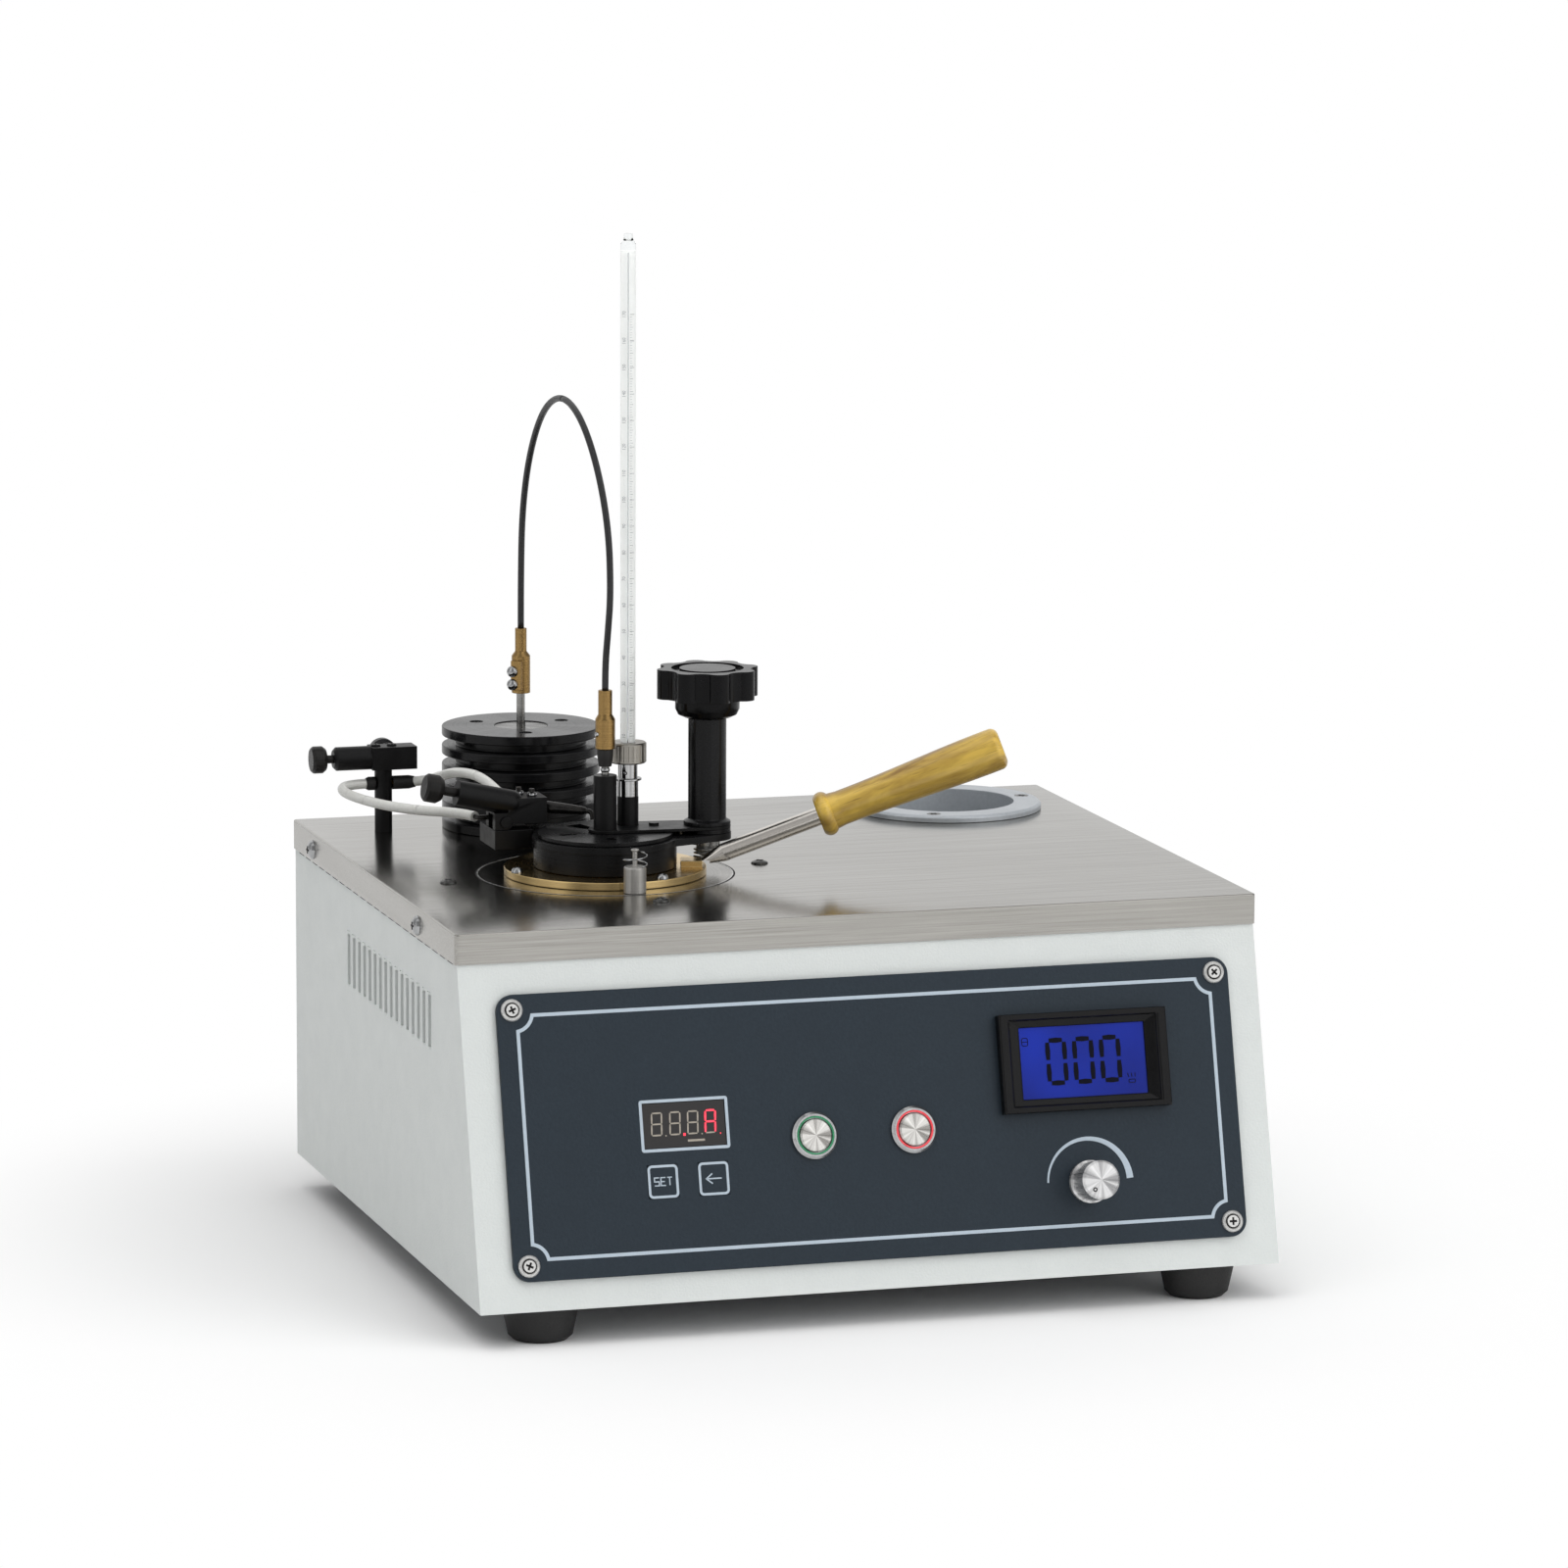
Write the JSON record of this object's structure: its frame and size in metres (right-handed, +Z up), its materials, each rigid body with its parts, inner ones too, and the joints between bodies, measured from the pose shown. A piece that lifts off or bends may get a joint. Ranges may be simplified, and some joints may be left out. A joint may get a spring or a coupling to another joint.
{
  "type": "flash point tester",
  "caption": "Bench instrument with a heated stove and brass cup, a lid with a stirrer, sprung shutter, tilting gas burner and thermometer, a stirrer drive and a sloping control panel.",
  "frame": {"origin": "on the bench, at the middle of the whole instrument's outline", "axes": "+Z up, +X to the operator's right, +Y away from the operator"},
  "size_m": [0.3246, 0.3224, 0.4034],
  "materials": {
    "cabinet_paint": "fine textured",
    "brushed_cover": "brushed",
    "steel": "turned",
    "bright_chrome": "polished",
    "black_rubber": "matt",
    "panel_blue": "satin",
    "black_plastic": "matt",
    "gloss_black": "gloss",
    "lamp_plastic": "clear",
    "black_anodised": "anodised",
    "silver_alloy": "spun",
    "yellow_brass": "turned",
    "grey_enamel": "enamel",
    "varnished_wood": "varnished",
    "silicone": "limp",
    "jacket_wool": "felted",
    "copper_winding": "lacquered",
    "board_green": "satin",
    "thermometer_glass": "clear",
    "black_sleeve": "satin",
    "casting": "rough"
  },
  "bodies": {
    "base": {"cabinet_shell": "cabinet_paint", "base_plate": "steel", "top_cover": "brushed_cover", "cabinet_screws": "bright_chrome", "rubber_feet": "black_rubber", "front_panel": "panel_blue", "panel_screws": "bright_chrome", "led_display": "gloss_black", "meter_bezel": "black_plastic", "meter_module": "gloss_black", "button_bodies": "bright_chrome", "lamp_rings": "lamp_plastic", "power_control": "steel", "motor_housing": "black_anodised", "stirrer_motor": "steel", "deck_screws": "bright_chrome", "flexible_shaft": "black_sleeve", "stove_disc": "brushed_cover", "stove_body": "casting", "heater_band": "steel", "insulation_jacket": "jacket_wool", "locating_post": "bright_chrome", "gas_post": "black_anodised", "gas_head": "black_anodised", "gas_barbs": "yellow_brass", "gas_hoses": "silicone", "cup_rest": "grey_enamel", "transformer": "copper_winding", "control_board": "board_green", "power_inlet": "black_plastic"},
    "cup": {"test_cup": "yellow_brass", "handle_tube": "steel", "handle_grip": "varnished_wood"},
    "lid": {"lid_body": "black_anodised", "guide_tubes": "black_anodised", "thermometer_gland": "bright_chrome", "lid_bridge": "black_anodised", "knob_column": "black_anodised", "burner_base": "black_anodised", "return_spring": "bright_chrome"},
    "knob": {"star_knob": "gloss_black", "knob_shaft": "steel"},
    "shutter": {"shutter_plate": "black_anodised"},
    "burner": {"burner_rocker": "black_anodised", "burner_nozzles": "steel"},
    "burner_valve": {"burner_valve_knob": "black_anodised"},
    "stirrer": {"stirrer_shaft": "steel", "stirrer_coupling": "yellow_brass", "coupling_socket": "black_plastic"},
    "motor_rotor": {"motor_drive_shaft": "steel", "motor_coupling": "yellow_brass"},
    "thermometer": {"thermometer": "thermometer_glass"},
    "gland_nut": {"thermometer_nut": "steel"},
    "front_gas_valve": {"front_gas_knob": "black_anodised"},
    "rear_gas_valve": {"rear_gas_knob": "black_anodised"},
    "dial": {"power_dial": "silver_alloy"},
    "start": {"start_button": "silver_alloy"},
    "stop": {"stop_button": "silver_alloy"},
    "set_switch": {"set_key": "black_plastic"},
    "shift_switch": {"shift_key": "black_plastic"}
  },
  "joints": [
    {"name": "cup_lift", "type": "slide", "parent": "base", "child": "cup", "axis": [0, 0, 1], "range_m": [0, 0.05], "deforming": ["flexible_shaft", "gas_hoses"]},
    {"name": "lid_lift", "type": "slide", "parent": "cup", "child": "lid", "axis": [0, 0, 1], "range_m": [0, 0.055], "deforming": ["flexible_shaft", "gas_hoses"]},
    {"name": "operating_knob", "type": "hinge", "parent": "lid", "child": "knob", "pos_m": [-0.029, -0.00772, 0.16], "axis": [0, 0, 1], "range_deg": [0, 76], "stiffness_Nm_per_rad": 0.02, "springref_deg": -22.92, "deforming": ["gas_hoses"]},
    {"name": "shutter_turn", "type": "hinge", "parent": "lid", "child": "shutter", "pos_m": [-0.0706, -0.00772, 0.1686], "axis": [0, 0, 1], "range_deg": [-23.25, 0]},
    {"name": "burner_tilt", "type": "hinge", "parent": "lid", "child": "burner", "pos_m": [-0.1056, 0.01878, 0.1714], "axis": [0, 1, 0], "range_deg": [0, 8.01], "deforming": ["gas_hoses"]},
    {"name": "burner_valve_turn", "type": "hinge", "parent": "burner", "child": "burner_valve", "pos_m": [-0.1319, 0.01608, 0.18504], "axis": [-0.9767, 0, 0.2147], "range_deg": [0, 270]},
    {"name": "motor_spin", "type": "hinge", "parent": "base", "child": "motor_rotor", "pos_m": [-0.0741, 0.10678, 0.203], "axis": [0, 0, 1], "continuous": true},
    {"name": "stirrer_spin", "type": "hinge", "parent": "lid", "child": "stirrer", "pos_m": [-0.0706, -0.00772, 0.19], "axis": [0, 0, 1], "continuous": true},
    {"name": "thermometer_slide", "type": "slide", "parent": "lid", "child": "thermometer", "axis": [0, 0, 1], "range_m": [0, 0.045]},
    {"name": "gland_nut_turn", "type": "hinge", "parent": "lid", "child": "gland_nut", "pos_m": [-0.0594, -0.00072, 0.199], "axis": [0, 0, 1], "range_deg": [0, 350]},
    {"name": "front_gas_valve_turn", "type": "hinge", "parent": "base", "child": "front_gas_valve", "pos_m": [-0.1611, 0.10878, 0.1832], "axis": [-1, 0, 0], "range_deg": [0, 270]},
    {"name": "rear_gas_valve_turn", "type": "hinge", "parent": "base", "child": "rear_gas_valve", "pos_m": [-0.1281, 0.12078, 0.1832], "axis": [0, 1, 0], "range_deg": [0, 270]},
    {"name": "power_dial_turn", "type": "hinge", "parent": "base", "child": "dial", "pos_m": [0.0839, -0.15257, 0.05111], "axis": [0, -0.9655, 0.2604], "range_deg": [-300, 0]},
    {"name": "start_press", "type": "slide", "parent": "base", "child": "start", "axis": [0, 0.9655, -0.2604], "range_m": [0, 0.0018], "stiffness_N_per_m": 400, "springref_m": -0.0008},
    {"name": "stop_press", "type": "slide", "parent": "base", "child": "stop", "axis": [0, 0.9655, -0.2604], "range_m": [0, 0.0018], "stiffness_N_per_m": 400, "springref_m": -0.0008},
    {"name": "set_press", "type": "slide", "parent": "base", "child": "set_switch", "axis": [0, 0.9655, -0.2604], "range_m": [0, 0.0004], "stiffness_N_per_m": 600, "springref_m": -0.0004},
    {"name": "shift_press", "type": "slide", "parent": "base", "child": "shift_switch", "axis": [0, 0.9655, -0.2604], "range_m": [0, 0.0004], "stiffness_N_per_m": 600, "springref_m": -0.0004}
  ],
  "couplings": [
    {"joint": "shutter_turn", "follows": "operating_knob", "ratio": -0.3058},
    {"joint": "burner_tilt", "follows": "operating_knob", "ratio": 0.10526},
    {"joint": "stirrer_spin", "follows": "motor_spin", "ratio": -1}
  ]
}
